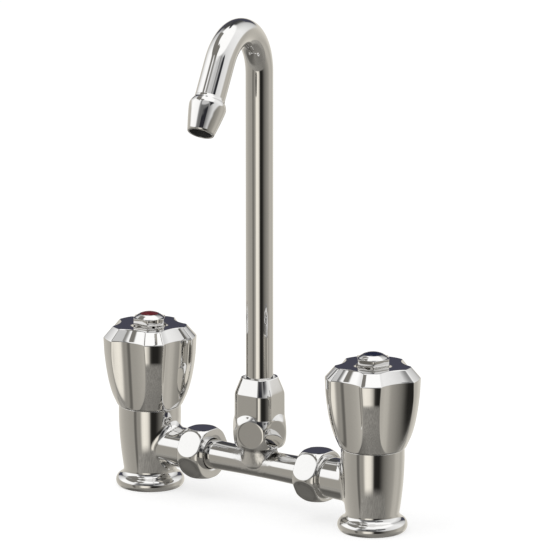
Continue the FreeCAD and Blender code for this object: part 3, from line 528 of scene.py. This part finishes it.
def handle(side):
    """Fluted handwheel, bored for the cap and the spindle and hollow from below."""
    outline = land_outline()
    least = crease_angle(CORNER_Z, CORNER_R)
    rim_crease = crease_angle(RIM_Z, RIM_R)
    foot = handle_ring(HANDLE_FOOT, FOOT_R, least)
    corner = handle_ring(CORNER_Z, CORNER_R, least)
    swell = handle_ring((HANDLE_FOOT + CORNER_Z) / 2, FOOT_SWELL_R, least)
    edge = handle_ring(RIM_Z, RIM_R, rim_crease)
    top = handle_ring(RIM_Z, RIM_R, rim_crease, BEVEL_IN, HANDLE_TOP)
    inner = handle_ring(RIM_Z, RIM_R, rim_crease, BEVEL_IN * TOP_INSIDE, HANDLE_TOP)
    rings = eased_edge(foot, swell, corner, FOOT_ROWS)
    rings += [handle_ring(z, r, crease_angle(z, r)) for r, z in outline[1:-1]]
    # the rim
    last_side = rings[-1]
    side_gap = RIM_Z - outline[-2][1]
    before = mix_rings(edge, last_side, EDGE / side_gap)
    after = mix_rings(edge, top, EDGE / BEVEL_H)
    rings.append(mix_rings(edge, last_side, EDGE_CLEAR / side_gap))
    rings += eased_edge(before, edge, after)
    # the bevel and the flat top
    rings.append(mix_rings(edge, top, EDGE_CLEAR / BEVEL_H))
    rings += [mix_rings(edge, top, t) for t in BEVEL_ROWS]
    rings.append(mix_rings(top, edge, EDGE_CLEAR / BEVEL_H))
    rings += eased_edge(mix_rings(top, edge, EDGE / BEVEL_H), top, mix_rings(top, inner, TOP_EASE))
    rings.append(mix_rings(top, inner, TOP_CLEAR))
    rings.append(inner)
    # the hollow under the cap, the hub and the inside of the handle, as round rings
    roof = HANDLE_TOP - HANDLE_ROOF
    hub_foot = roof - HUB_LENGTH
    hollow = [(CAP_PLUG_R, HANDLE_TOP), (CAP_PLUG_R, HANDLE_TOP - CAP_PLUG_H),
              (HUB_BORE_R, HANDLE_TOP - CAP_PLUG_H), (HUB_BORE_R, hub_foot), (HUB_R, hub_foot), (HUB_R, roof),
              (HOLLOW_ROOF_R, roof), (HOLLOW_R, RIM_Z - LANDS[0][0]),
              (CORNER_R - FLUTE_RUNOUT - HANDLE_WALL, CORNER_Z + HANDLE_WALL),
              (FOOT_R - HANDLE_WALL, HANDLE_FOOT)]
    for r, z in hollow:
        rings.append([Vector((r * p.x / p.xy.length, r * p.y / p.xy.length, z)) for p in edge])
    return ring_piece(side + "_handle_skin", place_rings(rings, on_valve(side, LOBE_TURN[side])))


def handle_cap(side):
    """Cap with flats and a dome, open at the top for the index disc."""
    flat = CAP_R * math.cos(math.pi / CAP_SIDES)
    top = HANDLE_TOP + CAP_H
    dome_top = top + DOME_H
    ball_r = (DOME_R ** 2 + DOME_H ** 2) / (2 * DOME_H)

    def radius_at(angle):
        return softest(CAP_R * CAP_ROUND, flat_radius(flat, CAP_SIDES, angle + math.pi / CAP_SIDES))

    def outline(z):
        return outline_ring(radius_at, z, CAP_COLUMNS)

    low = outline(HANDLE_TOP)
    edge = outline(top)
    dome_foot = circle(DOME_R * CAP_ROUND, top, CAP_COLUMNS)
    rings = [low, mix_rings(low, edge, 0.5), outline(top - 1.5 * CAP_EASE)]
    rings += eased_edge(outline(top - CAP_EASE), edge, mix_rings(edge, dome_foot, CAP_EASE_IN))
    for r in spread(DOME_R * CAP_ROUND, INDEX_R + INDEX_PLAY, DOME_ROWS):
        rings.append(circle(r, dome_top - ball_r + math.sqrt(ball_r ** 2 - r * r), CAP_COLUMNS))
    seat = dome_top - INDEX_SINK
    plug = HANDLE_TOP - CAP_PLUG_H
    inside = [(INDEX_R, seat + 3 * INDEX_PLAY), (INDEX_R, seat), (INDEX_R / 2, seat), (PINHOLE_R, seat),
              (PINHOLE_R, plug), (CAP_PLUG_R, plug), (CAP_PLUG_R, HANDLE_TOP)]
    rings += lathe_rings(inside, CAP_COLUMNS)
    return ring_piece(side + "_handle_cap_skin", place_rings(rings, on_valve(side, CAP_TURN[side])))


# ---------------------------------------------------------------- node helper
class Graph:
    """Short calls for building a node tree."""

    def __init__(self, tree):
        self.tree = tree

    def node(self, kind, inputs=(), **settings):
        made = self.tree.nodes.new(kind)
        for name, value in settings.items():
            setattr(made, name, value)
        for key, value in dict(inputs).items():
            self.put(made.inputs[key], value)
        return made

    def put(self, socket, value):
        if isinstance(value, bpy.types.NodeSocket):
            self.tree.links.new(value, socket)
        else:
            socket.default_value = value

    def math(self, operation, *values):
        made = self.node("ShaderNodeMath", operation=operation)
        for i, value in enumerate(values):
            self.put(made.inputs[i], value)
        return made.outputs[0]

    def vector(self, operation, inputs):
        return self.node("ShaderNodeVectorMath", inputs, operation=operation)

    def ease(self, value, start, end, low=0.0, high=1.0):
        """Low up to start, high from end on, and a smooth step between them."""
        made = self.node("ShaderNodeMapRange", interpolation_type="SMOOTHSTEP")
        for key, part in (("Value", value), ("From Min", start), ("From Max", end),
                          ("To Min", low), ("To Max", high)):
            self.put(made.inputs[key], part)
        return made.outputs[0]

    def mix(self, factor, a, b):
        # sockets 0, 6 and 7 of this node are its factor and its two colours, output 2 is the mixed one
        inputs = {0: factor, 6: a, 7: b}
        return self.node("ShaderNodeMix", inputs, data_type="RGBA").outputs[2]

    def ramp(self, factor, stops):
        made = self.node("ShaderNodeValToRGB", {"Fac": factor})
        elements = made.color_ramp.elements
        while len(elements) < len(stops):
            elements.new(0.5)
        for element, (position, colour) in zip(elements, stops):
            element.position = position
            element.color = (*colour, 1.0)
        return made.outputs["Color"]

    def noise(self, where, scale, detail=3.0, roughness=0.5):
        settings = {"Vector": where, "Scale": scale, "Detail": detail, "Roughness": roughness}
        return self.node("ShaderNodeTexNoise", settings).outputs["Fac"]

    def bump(self, height, strength, distance, normal=None):
        made = self.node("ShaderNodeBump", {"Height": height, "Strength": strength, "Distance": distance})
        if normal is not None:
            self.put(made.inputs["Normal"], normal)
        return made.outputs["Normal"]


def new_material(name, metallic=0.0):
    material = bpy.data.materials.new(name)
    material.use_nodes = True
    material.node_tree.nodes.clear()
    graph = Graph(material.node_tree)
    surface = graph.node("ShaderNodeBsdfPrincipled", {"Metallic": metallic})
    graph.node("ShaderNodeOutputMaterial", {"Surface": surface.outputs["BSDF"]})
    where = graph.node("ShaderNodeTexCoord").outputs["Object"]
    return material, graph, surface, where


def shader(material):
    return next(n for n in material.node_tree.nodes if n.type == "BSDF_PRINCIPLED")


def opaque(colour):
    return (*colour, 1.0)


# ---------------------------------------------------------------- materials
# Noise scales are per metre: at 500 the marks are about 2 mm across.
CHROME = (0.78, 0.775, 0.765)
CHROME_SHADE = 0.94          # fine mottle of the plate
POLISH_SCALE = 70.0          # waves left by polishing
POLISH_DEPTH = 0.0006
FINE_SCALE = 520.0
FINE_DEPTH = 0.0001
FINE_SHARE = 0.2             # of the waves' bump
SMUDGE_SCALE = 45.0
SMUDGE_SPAN = (0.45, 0.75)
SMUDGE_ROUGH = 0.05
WORN_EDGE = (0.52, 0.62)     # pointiness over which an edge gets duller
WORN_ROUGH = 0.05
BRAZE_MIDDLE = 0.006         # of the brazed zone, over the bridge axis
BRAZE_SPAN = (0.012, 0.022)  # distance from there over which its look fades
BRAZE_SCALE = 330.0
BRAZE_BUMP = 0.30
BRAZE_DEPTH = 0.0008
BRAZE_ROUGH = 0.20
# Painted shade: under the spout nut the boss's plate is painted dark grey instead of chrome.
NECK_SHADE_SPAN = (0.0085, 0.0105)     # over the bridge axis, where the painted shade under the spout nut starts on the boss's neck
NECK_PAINTED_SHADE = (0.26, 0.26, 0.26)
BRASS = (0.75, 0.58, 0.29)
BRASS_TARNISH = (0.50, 0.36, 0.17)
TARNISH_SCALE = 160.0
TOOL_MARK_SCALE = 420.0
TOOL_MARK_BUMP = 0.15
STEEL = (0.56, 0.56, 0.57)
STEEL_DARK = (0.42, 0.42, 0.44)
STEEL_GRAIN = 900.0
STEEL_BUMP = 0.2
METAL_BUMP_DEPTH = 0.00005
MIDDLE_SPAN = (0.3, 0.7)     # parts of a noise's range over which roughness changes
WIDE_SPAN = (0.2, 0.8)
MOTTLE_SIZE = 6              # of a moulded surface's mottle, in pores
PORE_ROUGH = 0.12
PORE_BUMP = 0.25
INDEX_COAT = 0.5
INDEX_COAT_ROUGH = 0.05


def chrome(name, colour, wave, dull):
    """Bright plate: faint waves from polishing, thin smudges, and edges worn a little duller."""
    material, graph, surface, where = new_material(name, metallic=1.0)
    broad = graph.noise(where, POLISH_SCALE, detail=2.0)
    fine = graph.noise(where, FINE_SCALE, detail=4.0, roughness=0.6)
    smudge = graph.noise(where, SMUDGE_SCALE, detail=5.0, roughness=0.65)
    pointed = graph.node("ShaderNodeNewGeometry").outputs["Pointiness"]
    worn = graph.ease(pointed, *WORN_EDGE, low=0.0, high=WORN_ROUGH)
    dulled = graph.ease(smudge, *SMUDGE_SPAN, low=dull, high=dull + SMUDGE_ROUGH)
    graph.put(surface.inputs["Roughness"], graph.math("ADD", dulled, worn))
    shade = tuple(channel * CHROME_SHADE for channel in colour)
    graph.put(surface.inputs["Base Color"], graph.mix(fine, opaque(colour), opaque(shade)))
    waves = graph.bump(broad, wave, POLISH_DEPTH)
    graph.put(surface.inputs["Normal"], graph.bump(fine, wave * FINE_SHARE, FINE_DEPTH, waves))
    return material


def brazed_chrome_and_painted_shade(name, colour):
    """The same plate over the brazed foot of the riser boss, lumpy and dull there, with painted shade under
    the nut.
    """
    material = chrome(name, colour, wave=0.06, dull=0.05)
    graph = Graph(material.node_tree)
    surface = shader(material)
    smooth, plain, bright = (surface.inputs[key].links[0].from_socket
                             for key in ("Normal", "Roughness", "Base Color"))
    where = graph.node("ShaderNodeTexCoord").outputs["Object"]
    off = graph.vector("DISTANCE", {0: where, 1: (0.0, 0.0, BRIDGE_Z + BRAZE_MIDDLE)}).outputs["Value"]
    near = graph.ease(off, *BRAZE_SPAN, low=1.0, high=0.0)
    lumps = graph.noise(where, BRAZE_SCALE, detail=3.0, roughness=0.55)
    lumpy = graph.bump(lumps, graph.math("MULTIPLY", near, BRAZE_BUMP), BRAZE_DEPTH, smooth)
    graph.put(surface.inputs["Normal"], lumpy)
    dulled = graph.math("ADD", plain, graph.math("MULTIPLY", near, BRAZE_ROUGH))
    graph.put(surface.inputs["Roughness"], dulled)
    # painted shade on the neck of the boss, from just under the spout nut upward
    height = graph.node("ShaderNodeSeparateXYZ", {"Vector": where}).outputs["Z"]
    under_nut_shade = graph.ease(height, *(BRIDGE_Z + rise for rise in NECK_SHADE_SPAN))
    graph.put(surface.inputs["Base Color"], graph.mix(under_nut_shade, bright, opaque(NECK_PAINTED_SHADE)))
    return material


def brass(name):
    """Turned brass with tool marks and tarnish."""
    material, graph, surface, where = new_material(name, metallic=1.0)
    tool_marks = graph.node("ShaderNodeTexWave",
                            {"Vector": where, "Scale": TOOL_MARK_SCALE, "Distortion": 1.5},
                            bands_direction="Z").outputs["Fac"]
    tarnish = graph.noise(where, TARNISH_SCALE, detail=5.0, roughness=0.6)
    graph.put(surface.inputs["Base Color"], graph.mix(tarnish, opaque(BRASS), opaque(BRASS_TARNISH)))
    graph.put(surface.inputs["Roughness"], graph.ease(tarnish, *MIDDLE_SPAN, low=0.22, high=0.42))
    graph.put(surface.inputs["Normal"], graph.bump(tool_marks, TOOL_MARK_BUMP, METAL_BUMP_DEPTH))
    return material


def steel(name):
    """Drawn steel with a fine grain."""
    material, graph, surface, where = new_material(name, metallic=1.0)
    grain = graph.noise(where, STEEL_GRAIN, detail=2.0)
    graph.put(surface.inputs["Base Color"], graph.mix(grain, opaque(STEEL), opaque(STEEL_DARK)))
    graph.put(surface.inputs["Roughness"], graph.ease(grain, *WIDE_SPAN, low=0.25, high=0.40))
    graph.put(surface.inputs["Normal"], graph.bump(grain, STEEL_BUMP, METAL_BUMP_DEPTH))
    return material


def moulded(name, colour, shade, rough, grain, depth):
    """Rubber, fibre or plastic: even colour with a fine grain."""
    material, graph, surface, where = new_material(name)
    mottle = graph.noise(where, grain / MOTTLE_SIZE, detail=3.0)
    pores = graph.noise(where, grain, detail=4.0, roughness=0.6)
    graph.put(surface.inputs["Base Color"], graph.mix(mottle, opaque(colour), opaque(shade)))
    dulled = graph.ease(pores, *MIDDLE_SPAN, low=rough, high=rough + PORE_ROUGH)
    graph.put(surface.inputs["Roughness"], dulled)
    graph.put(surface.inputs["Normal"], graph.bump(pores, PORE_BUMP, depth))
    return material


def index_plastic(name, colour, shade):
    """Glossy plastic under a thin coat."""
    material = moulded(name, colour, shade, rough=0.12, grain=700.0, depth=0.00002)
    surface = shader(material)
    surface.inputs["Coat Weight"].default_value = INDEX_COAT
    surface.inputs["Coat Roughness"].default_value = INDEX_COAT_ROUGH
    return material


FINISHES = {
    "chromed_brass": chrome("chromed_brass", CHROME, wave=0.035, dull=0.02),
    "chromed_zinc": chrome("chromed_zinc", CHROME, wave=0.045, dull=0.02),
    "chromed_plastic": chrome("chromed_plastic", CHROME, wave=0.03, dull=0.02),
    "plain_brass": brass("plain_brass"),
    "spring_steel": steel("spring_steel"),
    "seal_rubber": moulded("seal_rubber", (0.03, 0.03, 0.03), (0.02, 0.02, 0.02),
                           rough=0.45, grain=1500.0, depth=0.00003),
    "deck_rubber": moulded("deck_rubber", (0.09, 0.09, 0.09), (0.06, 0.06, 0.06),
                           rough=0.65, grain=900.0, depth=0.00006),
    "fibre": moulded("fibre", (0.45, 0.16, 0.08), (0.34, 0.11, 0.06),
                     rough=0.70, grain=1100.0, depth=0.00006),
    "nylon_white": moulded("nylon_white", (0.85, 0.84, 0.80), (0.78, 0.77, 0.72),
                           rough=0.40, grain=800.0, depth=0.00003),
    "aerator_plastic": moulded("aerator_plastic", (0.05, 0.05, 0.055), (0.03, 0.03, 0.035),
                               rough=0.40, grain=900.0, depth=0.00003),
    "index_red": index_plastic("index_red", (0.16, 0.012, 0.018), (0.12, 0.009, 0.013)),
    "index_blue": index_plastic("index_blue", (0.010, 0.015, 0.050), (0.006, 0.009, 0.030)),
}
BRAZED_AND_SHADED = brazed_chrome_and_painted_shade("brazed_chrome_and_painted_shade", CHROME)
# Painted shade: the nozzle's bore is painted near black for the shade inside it.
BORE_PAINTED_SHADE = moulded("unlit_bore", (0.035, 0.035, 0.035), (0.02, 0.02, 0.02),
               rough=0.50, grain=900.0, depth=0.00004)


def finish_nodes():
    """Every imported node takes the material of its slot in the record."""
    for row in frame["record"]["subparts"]:
        node = frame["nodes"][row["node"]]
        node.data.materials.clear()
        node.data.materials.append(FINISHES[row["material_slot"]])


def dress(piece, node, body, slot, *materials):
    """The piece stands for a node, rides on its body and takes its finish, or the materials given."""
    for material in materials or [FINISHES[slot]]:
        piece.data.materials.append(material)
    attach(piece, body)
    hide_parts(node)


# ---------------------------------------------------------------- studio
CAMERA_AZIMUTH = math.radians(36.8)
CAMERA_LIFT = math.radians(13.4)
CAMERA_DISTANCE = 3.5
CAMERA_AIM = Vector((0.01239, 0.0, 0.15565))
PIXEL = 0.00064              # metres of the tap shown by one photo pixel
PHOTO_WIDTH = 550
SENSOR = 36.0

# What the chrome mirrors besides the white ground: bands round the tap, as (degrees to the right of the
# camera, level) where 1 is white. The angles below are in degrees too.
DEEP = ((-180, 0.20), (-125, 0.13), (-75, 0.14), (-20, 0.26), (40, 0.22), (90, 0.26), (140, 0.22),
        (180, 0.20))
TABLE = ((-180, 0.34), (-110, 0.42), (-60, 0.36), (-10, 0.28), (40, 0.23), (90, 0.32), (140, 0.42),
         (180, 0.34))
RING = ((-180, 0.72), (-147, 0.61), (-106, 0.46), (-80, 0.40), (-63, 0.38), (-58, 0.15), (-53, 0.15),
        (-47, 0.33), (-38, 0.33), (-34, 0.45), (-28, 0.95), (-20, 1.05), (-9, 0.95), (-2, 0.60), (4, 0.06),
        (9, 0.02), (22, 0.02), (28, 0.05), (42, 0.18), (57, 0.27), (80, 0.38), (92, 0.52), (106, 0.56),
        (123, 0.50), (147, 0.72), (180, 0.72))
UPPER = ((-180, 0.08), (-160, 0.09), (-148, 0.70), (-112, 1.30), (-60, 1.20), (-50, 0.30), (-38, 0.18),
         (10, 0.20), (22, 0.40), (42, 0.85), (80, 1.00), (115, 1.10), (146, 0.70), (160, 0.09), (180, 0.08))
TABLE_WARM = 0.04
TABLE_LOW = (-50.0, -38.0)   # degrees of height between which the table fades in over the deep shade
GRAIN_SCALE = 38.0
TABLE_GRAIN = (0.75, 1.25)   # least and most of the level that the grain leaves
RING_WARM = 0.05
RING_LOW = (-33.0, -29.0)
RING_HIGH = (4.0, 12.0)
FRONT_TURN = (-60.0, -42.0, 45.0, 62.0)      # part of the ring that starts higher up
FRONT_RISE = 5.0
OVERHEAD = 1.30
OVERHEAD_LIFT = (48.0, 56.0)
CARD_EDGE = 4.0
# Single cards: middle and half width round the tap, lower and upper end, colour.
CARDS = ((34.0, 12.0, 28.0, 42.0, (0.03, 0.03, 0.037)),
         (-6.0, 15.0, 17.0, 31.0, (0.03, 0.03, 0.037)),
         (-108.0, 38.0, 40.0, 66.0, (0.24, 0.23, 0.21)),
         (-58.0, 20.0, 50.0, 72.0, (0.24, 0.23, 0.21)),
         (-15.0, 25.0, 37.0, 52.0, (0.70, 0.70, 0.70)),
         (180.0, 25.0, 8.0, 27.0, (0.075, 0.076, 0.105)),
         (176.0, 5.0, 27.0, 62.0, (0.06, 0.06, 0.07)))
DIFFUSE_LIGHT = 0.80

LAMP_SIZE = 1.2
LAMP_POWER = 6.0
LAMP_PLACE = (-0.5, -0.6, 1.6)
LAMP_AIM = Vector((0, 0, 0.1))

FLOOR_HALF = 6.0
FLOOR_PALE = 0.50
FLOOR_SPECK = 0.48
FLOOR_SCALE = 30.0
FLOOR_BUMP = 0.05
FLOOR_BUMP_DEPTH = 0.0002
FLOOR_ROUGH = 0.9
FLOOR_GLOW = 0.62            # share of the white floor that no shadow takes away


def add_camera():
    data = bpy.data.cameras.new("camera")
    data.sensor_width = SENSOR
    data.lens = SENSOR * CAMERA_DISTANCE / (PIXEL * PHOTO_WIDTH)
    camera = bpy.data.objects.new("camera", data)
    bpy.context.scene.collection.objects.link(camera)
    back = Vector((math.sin(CAMERA_AZIMUTH) * math.cos(CAMERA_LIFT),
                   -math.cos(CAMERA_AZIMUTH) * math.cos(CAMERA_LIFT), math.sin(CAMERA_LIFT)))
    camera.location = CAMERA_AIM + back * CAMERA_DISTANCE
    camera.rotation_euler = (-back).to_track_quat("-Z", "Y").to_euler()
    bpy.context.scene.camera = camera


def grey(level, warm=0.0):
    """A grey, or with warm a slightly yellow one."""
    return (level * (1 + warm), level, level * (1 - 2 * warm))


def band(graph, turn, stops, tint):
    """Light that changes round the tap, with turn from 0 to 1."""
    brightest = max(level for _, level in stops)
    ramp = []
    for angle, level in stops:
        ramp.append((angle / 360 + 0.5, tuple(level / brightest * channel for channel in tint)))
    return graph.vector("SCALE", {0: graph.ramp(turn, ramp), "Scale": brightest}).outputs[0]


def window(graph, value, limits):
    """1 between the two middle limits, 0 outside the outer ones."""
    rise = graph.ease(value, limits[0], limits[1])
    return graph.math("MULTIPLY", rise, graph.ease(value, limits[2], limits[3], low=1.0, high=0.0))


def card(graph, angle, lift, studio, middle_turn, half_width, low, high, colour):
    """Lays one card over the studio."""
    off = graph.math("WRAP", graph.math("SUBTRACT", angle, middle_turn), 180.0, -180.0)
    beside = graph.math("ABSOLUTE", off)
    inside = graph.ease(beside, half_width, half_width + CARD_EDGE, low=1.0, high=0.0)
    soft = CARD_EDGE / 2
    upright = window(graph, lift, (low - soft, low + soft, high - soft, high + soft))
    return graph.mix(graph.math("MULTIPLY", inside, upright), studio, opaque(colour))


def studio_light(graph):
    """The studio that the chrome mirrors, by direction."""
    where = graph.node("ShaderNodeTexCoord").outputs["Generated"]
    turned = graph.node("ShaderNodeVectorRotate", {"Vector": where, "Angle": -CAMERA_AZIMUTH},
                        rotation_type="Z_AXIS").outputs[0]
    axes = graph.node("ShaderNodeSeparateXYZ", {"Vector": turned}).outputs
    toward = graph.math("MULTIPLY", axes["Y"], -1.0)
    angle = graph.math("DEGREES", graph.math("ARCTAN2", axes["X"], toward))
    turn = graph.math("ADD", graph.math("DIVIDE", angle, 360.0), 0.5)
    lift = graph.math("DEGREES", graph.math("ARCSINE", axes["Z"]))
    warm = grey(1.0, TABLE_WARM)
    table = band(graph, turn, TABLE, warm)
    low = graph.mix(graph.ease(lift, *TABLE_LOW), band(graph, turn, DEEP, warm), table)
    grain = graph.noise(where, GRAIN_SCALE, detail=4.0, roughness=0.7)
    grain = graph.ease(grain, *MIDDLE_SPAN, *TABLE_GRAIN)
    low = graph.vector("SCALE", {0: low, "Scale": grain}).outputs[0]
    front = graph.math("MULTIPLY", window(graph, angle, FRONT_TURN), FRONT_RISE)
    ring_share = graph.ease(graph.math("SUBTRACT", lift, front), *RING_LOW)
    studio = graph.mix(ring_share, low, band(graph, turn, RING, grey(1.0, RING_WARM)))
    studio = graph.mix(graph.ease(lift, *RING_HIGH), studio, band(graph, turn, UPPER, grey(1.0)))
    studio = graph.mix(graph.ease(lift, *OVERHEAD_LIFT), studio, opaque(grey(OVERHEAD)))
    for row in CARDS:
        studio = card(graph, angle, lift, studio, *row)
    return studio


def seen_directly(graph, path):
    """1 for the rays that show the plain ground: to the camera, mirrored and let through."""
    seen = graph.math("MAXIMUM", path["Is Camera Ray"], path["Is Glossy Ray"])
    return graph.math("MAXIMUM", seen, path["Is Transmission Ray"])


def add_world():
    world = bpy.data.worlds.new("studio")
    world.use_nodes = True
    world.node_tree.nodes.clear()
    bpy.context.scene.world = world
    graph = Graph(world.node_tree)
    path = graph.node("ShaderNodeLightPath").outputs
    ground = graph.mix(seen_directly(graph, path), opaque(grey(DIFFUSE_LIGHT)), opaque(grey(1.0)))
    ground = graph.mix(path["Is Glossy Ray"], ground, studio_light(graph))
    light = graph.node("ShaderNodeBackground", {"Color": ground, "Strength": 1.0})
    graph.node("ShaderNodeOutputWorld", {"Surface": light.outputs[0]})


def add_lamp():
    data = bpy.data.lights.new("softbox", "AREA")
    data.shape = "RECTANGLE"
    data.size = LAMP_SIZE
    data.size_y = LAMP_SIZE
    data.energy = LAMP_POWER
    lamp = bpy.data.objects.new("softbox", data)
    bpy.context.scene.collection.objects.link(lamp)
    lamp.location = LAMP_PLACE
    lamp.rotation_euler = (LAMP_AIM - lamp.location).to_track_quat("-Z", "Y").to_euler()
    lamp.visible_glossy = False


def add_floor():
    corners = [(x * FLOOR_HALF, y * FLOOR_HALF, 0) for x, y in ((-1, -1), (1, -1), (1, 1), (-1, 1))]
    floor = new_piece("floor", corners, [(0, 1, 2, 3)])
    material, graph, surface, where = new_material("pale_floor")
    speckle = graph.noise(where, FLOOR_SCALE, detail=4.0)
    graph.put(surface.inputs["Base Color"],
              graph.mix(speckle, opaque(grey(FLOOR_PALE)), opaque(grey(FLOOR_SPECK))))
    graph.put(surface.inputs["Normal"], graph.bump(speckle, FLOOR_BUMP, FLOOR_BUMP_DEPTH))
    surface.inputs["Roughness"].default_value = FLOOR_ROUGH
    surface.inputs["Specular IOR Level"].default_value = 0.0
    path = graph.node("ShaderNodeLightPath").outputs
    surface.inputs["Emission Color"].default_value = (1.0, 1.0, 1.0, 1.0)
    glow = graph.math("MULTIPLY", seen_directly(graph, path), FLOOR_GLOW)
    graph.put(surface.inputs["Emission Strength"], glow)
    floor.data.materials.append(material)
    floor.visible_glossy = False


# ---------------------------------------------------------------- the scene
finish_nodes()
dress(bridge_tube(), "bridge_tube", "tap_body", "chromed_brass", BRAZED_AND_SHADED)
dress(spout_nut(), "spout_nut", "tap_body", "chromed_brass")
dress(spout_tube(), "spout_tube", "spout", "chromed_brass")
dress(outlet_nozzle(), "outlet_nozzle", "spout", "chromed_brass", FINISHES["chromed_brass"], BORE_PAINTED_SHADE)
for side in SIGN:
    dress(union_nut(side), side + "_union_nut", "tap_body", "chromed_brass")
    dress(handle(side), side + "_handle", side + "_handle_group", "chromed_zinc")
    dress(handle_cap(side), side + "_handle_cap", side + "_handle_group", "chromed_plastic")
add_camera()
add_world()
add_lamp()
add_floor()
bpy.context.scene.view_settings.view_transform = "Standard"
